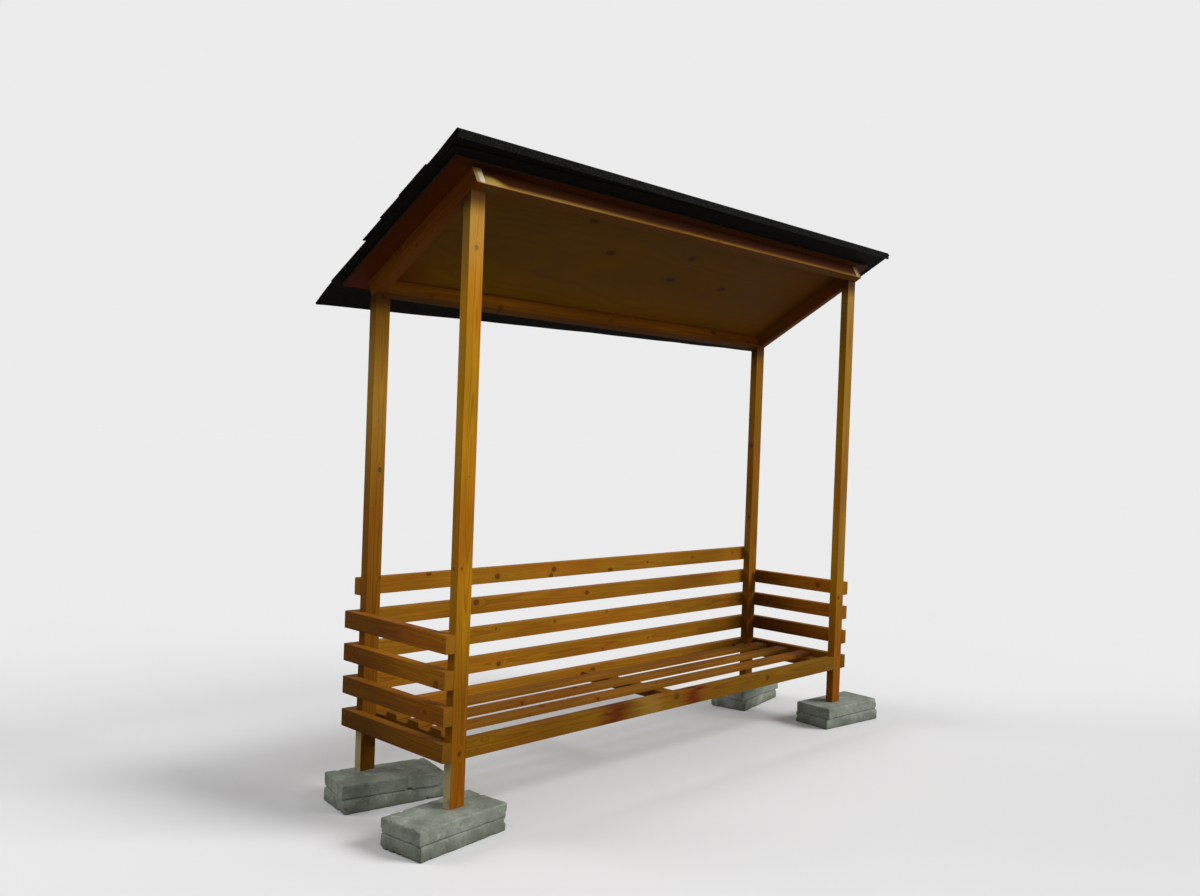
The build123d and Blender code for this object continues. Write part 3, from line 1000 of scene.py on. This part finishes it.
def head_setter():
    """A node tree that sets a head on each point, along its facing and turned at random round it."""
    tree = bpy.data.node_groups.new("set_heads", "GeometryNodeTree")
    inputs = (("Points", "Geometry"), ("Head", "Object"), ("Width", "Float"), ("Finish", "Material"))
    for name, kind in inputs:
        tree.interface.new_socket(name, in_out="INPUT", socket_type=f"NodeSocket{kind}")
    tree.interface.new_socket("Heads", in_out="OUTPUT", socket_type="NodeSocketGeometry")
    net = Net(tree)
    given = net.node("NodeGroupInput")
    head = net.node("GeometryNodeObjectInfo", values={"Object": given.other("Head")}, out="Geometry")
    turns = {2: 0.0, 3: math.tau, "Seed": SPIN_SEED}
    spin = net.node("FunctionNodeRandomValue", {"data_type": "FLOAT"}, turns, 1)
    about_axis = net.node("ShaderNodeCombineXYZ", values={"Z": spin})
    spun = net.node("FunctionNodeEulerToRotation", values={0: about_axis})
    facing = net.node("GeometryNodeInputNamedAttribute", {"data_type": "FLOAT_VECTOR"}, {"Name": "facing"})
    values = {"Rotation": spun, "Vector": facing}
    aimed = net.node("FunctionNodeAlignRotationToVector", {"axis": "Z"}, values)
    values = {"Points": given, "Instance": head, "Rotation": aimed, "Scale": given.other("Width")}
    heads = net.node("GeometryNodeInstanceOnPoints", values=values)
    real = net.node("GeometryNodeRealizeInstances", values={0: heads})
    done = net.node("GeometryNodeSetMaterial", values={"Geometry": real, "Material": given.other("Finish")})
    net.node("NodeGroupOutput", values={0: done})
    return tree


def set_heads(name, setter, places, head, width, finish):
    """One piece with a head on every place, each a point and the way it faces."""
    points = bpy.data.meshes.new(f"{name}_points")
    points.from_pydata([point for point, _ in places], [], [])
    facing = points.attributes.new("facing", "FLOAT_VECTOR", "POINT")
    facing.data.foreach_set("vector", [part for _, way in places for part in way])
    holder = add(f"{name}_points", points)
    modifier = holder.modifiers.new("heads", "NODES")
    modifier.node_group = setter
    keys = {item.name: item.identifier for item in setter.interface.items_tree if item.in_out == "INPUT"}
    for key, value in (("Head", head), ("Width", width), ("Finish", finish)):
        modifier[keys[key]] = value
    graph = bpy.context.evaluated_depsgraph_get()
    mesh = bpy.data.meshes.new_from_object(holder.evaluated_get(graph), depsgraph=graph)
    bpy.data.objects.remove(holder)
    piece = add(name, mesh)
    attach(piece, "root")


def coated_steel(name, colour, rust, shine):
    """Coated steel, dulled outdoors, with a little rust."""
    coat = Finish(name, Metallic=shine, Specular_IOR_Level=0.12)
    spot = coat.noise(coat.place(), scale=420.0, detail=3.0, roughness=0.6)
    worn = coat.ease(spot, 0.52, 0.68, 0.0, rust)
    return coat.surface(Base_Color=coat.mix(worn, colour, RUST), Roughness=0.45 + 0.3 * worn)


def side_screws(hand, sign, slip):
    """Screws of the slats and of the roof's frame at one end of the store, as points and facings."""
    slats, roof_frame = [], []
    outward = ALONG_STORE * sign
    shaded_rear_post = middle(f"post_rear_{hand}")
    joints = (middle(f"post_front_{hand}").y, shaded_rear_post.y, middle("back_slat_1").y)
    for row in range(1, 5):
        low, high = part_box(f"end_slat_{hand}_{row}")
        outer = low.x if sign < 0 else high.x
        for y in joints:
            for step in SCREW_PAIR:
                slats.append((Vector((outer, y + slip(), (low.z + high.z) / 2 + step + slip())), outward))
    for row in range(1, 6):
        low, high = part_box(f"back_slat_{row}")
        for step in SCREW_PAIR:
            x = shaded_rear_post.x + step * 0.6 + slip()
            slats.append((Vector((x, high.y, (low.z + high.z) / 2 + step + slip())), TO_BACK))
    for node in ("header_front", "beam_rear"):
        point = middle(node)
        point.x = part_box(f"rafter_{hand}")[0 if sign < 0 else 1].x
        for step in SCREW_PAIR:
            roof_frame.append((point + OUT_OF_ROOF * (step + slip()), outward))
    return slats, roof_frame


def floor_screws(slip):
    """Screws that hold the bearers to the rail, and those of the floor's boards, as points and facings."""
    rail, floor = [], []
    rail_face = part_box("rail_front")[0].y
    half = LUMBER_WIDE / 2
    for x in (bearers_low.x + half, 0.0, bearers_high.x - half):
        for step in SCREW_PAIR:
            point = Vector((x + step + slip(), rail_face, (bearers_low.z + bearers_high.z) / 2 + slip()))
            rail.append((point, -TO_BACK))
            for y in (boards_low.y + half, (boards_low.y + boards_high.y) / 2, boards_high.y - half):
                floor.append((Vector((x + slip(), y + step + slip(), boards_high.z)), UP))
    return rail, floor


def cap_nails(slip):
    """Nails of the cap, as points and facings on the bent shingles under them."""
    made = bmesh.new()
    made.from_mesh(laid_cap.data)
    skin = BVHTree.FromBMesh(made)
    made.free()
    nails = []
    cap_low, cap_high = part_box("shingle_cap")
    for strip in range(3):
        for place in NAILS_ALONG_STRIP:
            x = cap_low.x + (strip + place) * strip_length + slip()
            above = Vector((x, cap_high.y - NAILS_FROM_EDGE + slip(), cap_high.z + 0.2))
            point, normal, _, _ = skin.ray_cast(above, -UP)
            if point:
                nails.append((point, normal))
    return nails


def fasteners():
    """Screws of the slats, rail, floor and roof frame, and the nails of the cap shingles."""
    draw = random.Random("fasteners")

    def slip():
        return draw.uniform(-HAND_SLIP, HAND_SLIP)

    left_slats, left_frame = side_screws("left", -1, slip)
    right_slats, right_frame = side_screws("right", 1, slip)
    rail, floor = floor_screws(slip)
    nails = cap_nails(slip)
    screws = {
        "slat": left_slats + right_slats,
        "rail": rail,
        "floor": floor,
        "roof_frame": left_frame + right_frame,
    }

    screw_head = turned_head("screw_head", SCREW_PROFILE, SCREW_CROSS)
    nail_head = turned_head("nail_head", NAIL_PROFILE)
    setter = head_setter()
    tan_screws = coated_steel("tan_screws", TAN_COAT, 0.5, 0.0)
    zinc_nails = coated_steel("zinc_nails", ZINC_COAT, 0.6, 0.3)
    for name, places in screws.items():
        set_heads(f"{name}_screws", setter, places, screw_head, SCREW_WIDTH, tan_screws)
    set_heads("cap_nails", setter, nails, nail_head, NAIL_WIDTH, zinc_nails)
    for head in (screw_head, nail_head):
        bpy.data.objects.remove(head)


fasteners()

# Floor, sky, lamps and camera


def background_ray(net):
    """1 for the rays that show the background: those seen directly, mirrored or through glass."""
    ray = net.node("ShaderNodeLightPath", out="Is Camera Ray")
    seen = net.maths("MAXIMUM", ray, ray.other("Is Glossy Ray"))
    return net.maths("MAXIMUM", seen, ray.other("Is Transmission Ray"))


def studio_floor():
    """A pale floor that runs to the horizon and keeps the store's shadow."""
    reach = FLOOR_REACH
    mesh = bpy.data.meshes.new("studio_floor")
    corners = [(-reach, -reach, 0), (reach, -reach, 0), (reach, reach, 0), (-reach, reach, 0)]
    mesh.from_pydata(corners, [], [(0, 1, 2, 3)])
    coat = Finish("studio_floor", Roughness=1.0, Specular_IOR_Level=0.0)
    colour = coat.mix(background_ray(coat), grey(FLOOR_BOUNCE), grey(FLOOR_SEEN))
    mesh.materials.append(coat.surface(Base_Color=colour))
    add("studio_floor", mesh)


def studio_sky():
    """An even sky that is seen in the floor's tone."""
    world = bpy.data.worlds.new("studio_sky")
    bpy.context.scene.world = world
    world.use_nodes = True
    world.node_tree.nodes.clear()
    net = Net(world.node_tree)
    sky = net.node("ShaderNodeBackground", values={"Color": grey(1.0), "Strength": SKY_STRENGTH})
    backdrop = net.node("ShaderNodeBackground", values={"Color": grey(BACKDROP)})
    either = net.node("ShaderNodeMixShader", values={0: background_ray(net), 1: sky, 2: backdrop})
    net.node("ShaderNodeOutputWorld", values={"Surface": either})


def lamp(name, source, strength):
    """A broad lamp far away, shining from a direction."""
    light = bpy.data.lights.new(name, "SUN")
    light.energy = strength
    light.angle = LAMP_ANGLE
    add(name, light).rotation_euler = source.to_track_quat("Z", "Y").to_euler()


def camera():
    """The photograph's view: heading from straight back towards the right, then tilt and roll."""
    forward = Vector((
        math.sin(CAMERA_HEADING) * math.cos(CAMERA_TILT),
        math.cos(CAMERA_HEADING) * math.cos(CAMERA_TILT),
        math.sin(CAMERA_TILT),
    ))
    right = Vector((math.cos(CAMERA_HEADING), -math.sin(CAMERA_HEADING), 0.0))
    level = Matrix((right, right.cross(forward), -forward)).transposed()
    rolled = level @ Matrix.Rotation(-CAMERA_ROLL, 3, "Z")
    data = bpy.data.cameras.new("camera")
    data.sensor_fit = "HORIZONTAL"
    data.sensor_width = CAMERA_SENSOR
    data.lens = CAMERA_LENS
    data.clip_end = CAMERA_REACH
    holder = add("camera", data)
    holder.matrix_world = Matrix.Translation(CAMERA_PLACE) @ rolled.to_4x4()
    bpy.context.scene.camera = holder


studio_floor()
studio_sky()
lamp("key_lamp", KEY_FROM, KEY_STRENGTH)
lamp("back_lamp", BACK_FROM, BACK_STRENGTH)
camera()
bpy.context.scene.view_settings.view_transform = "Standard"
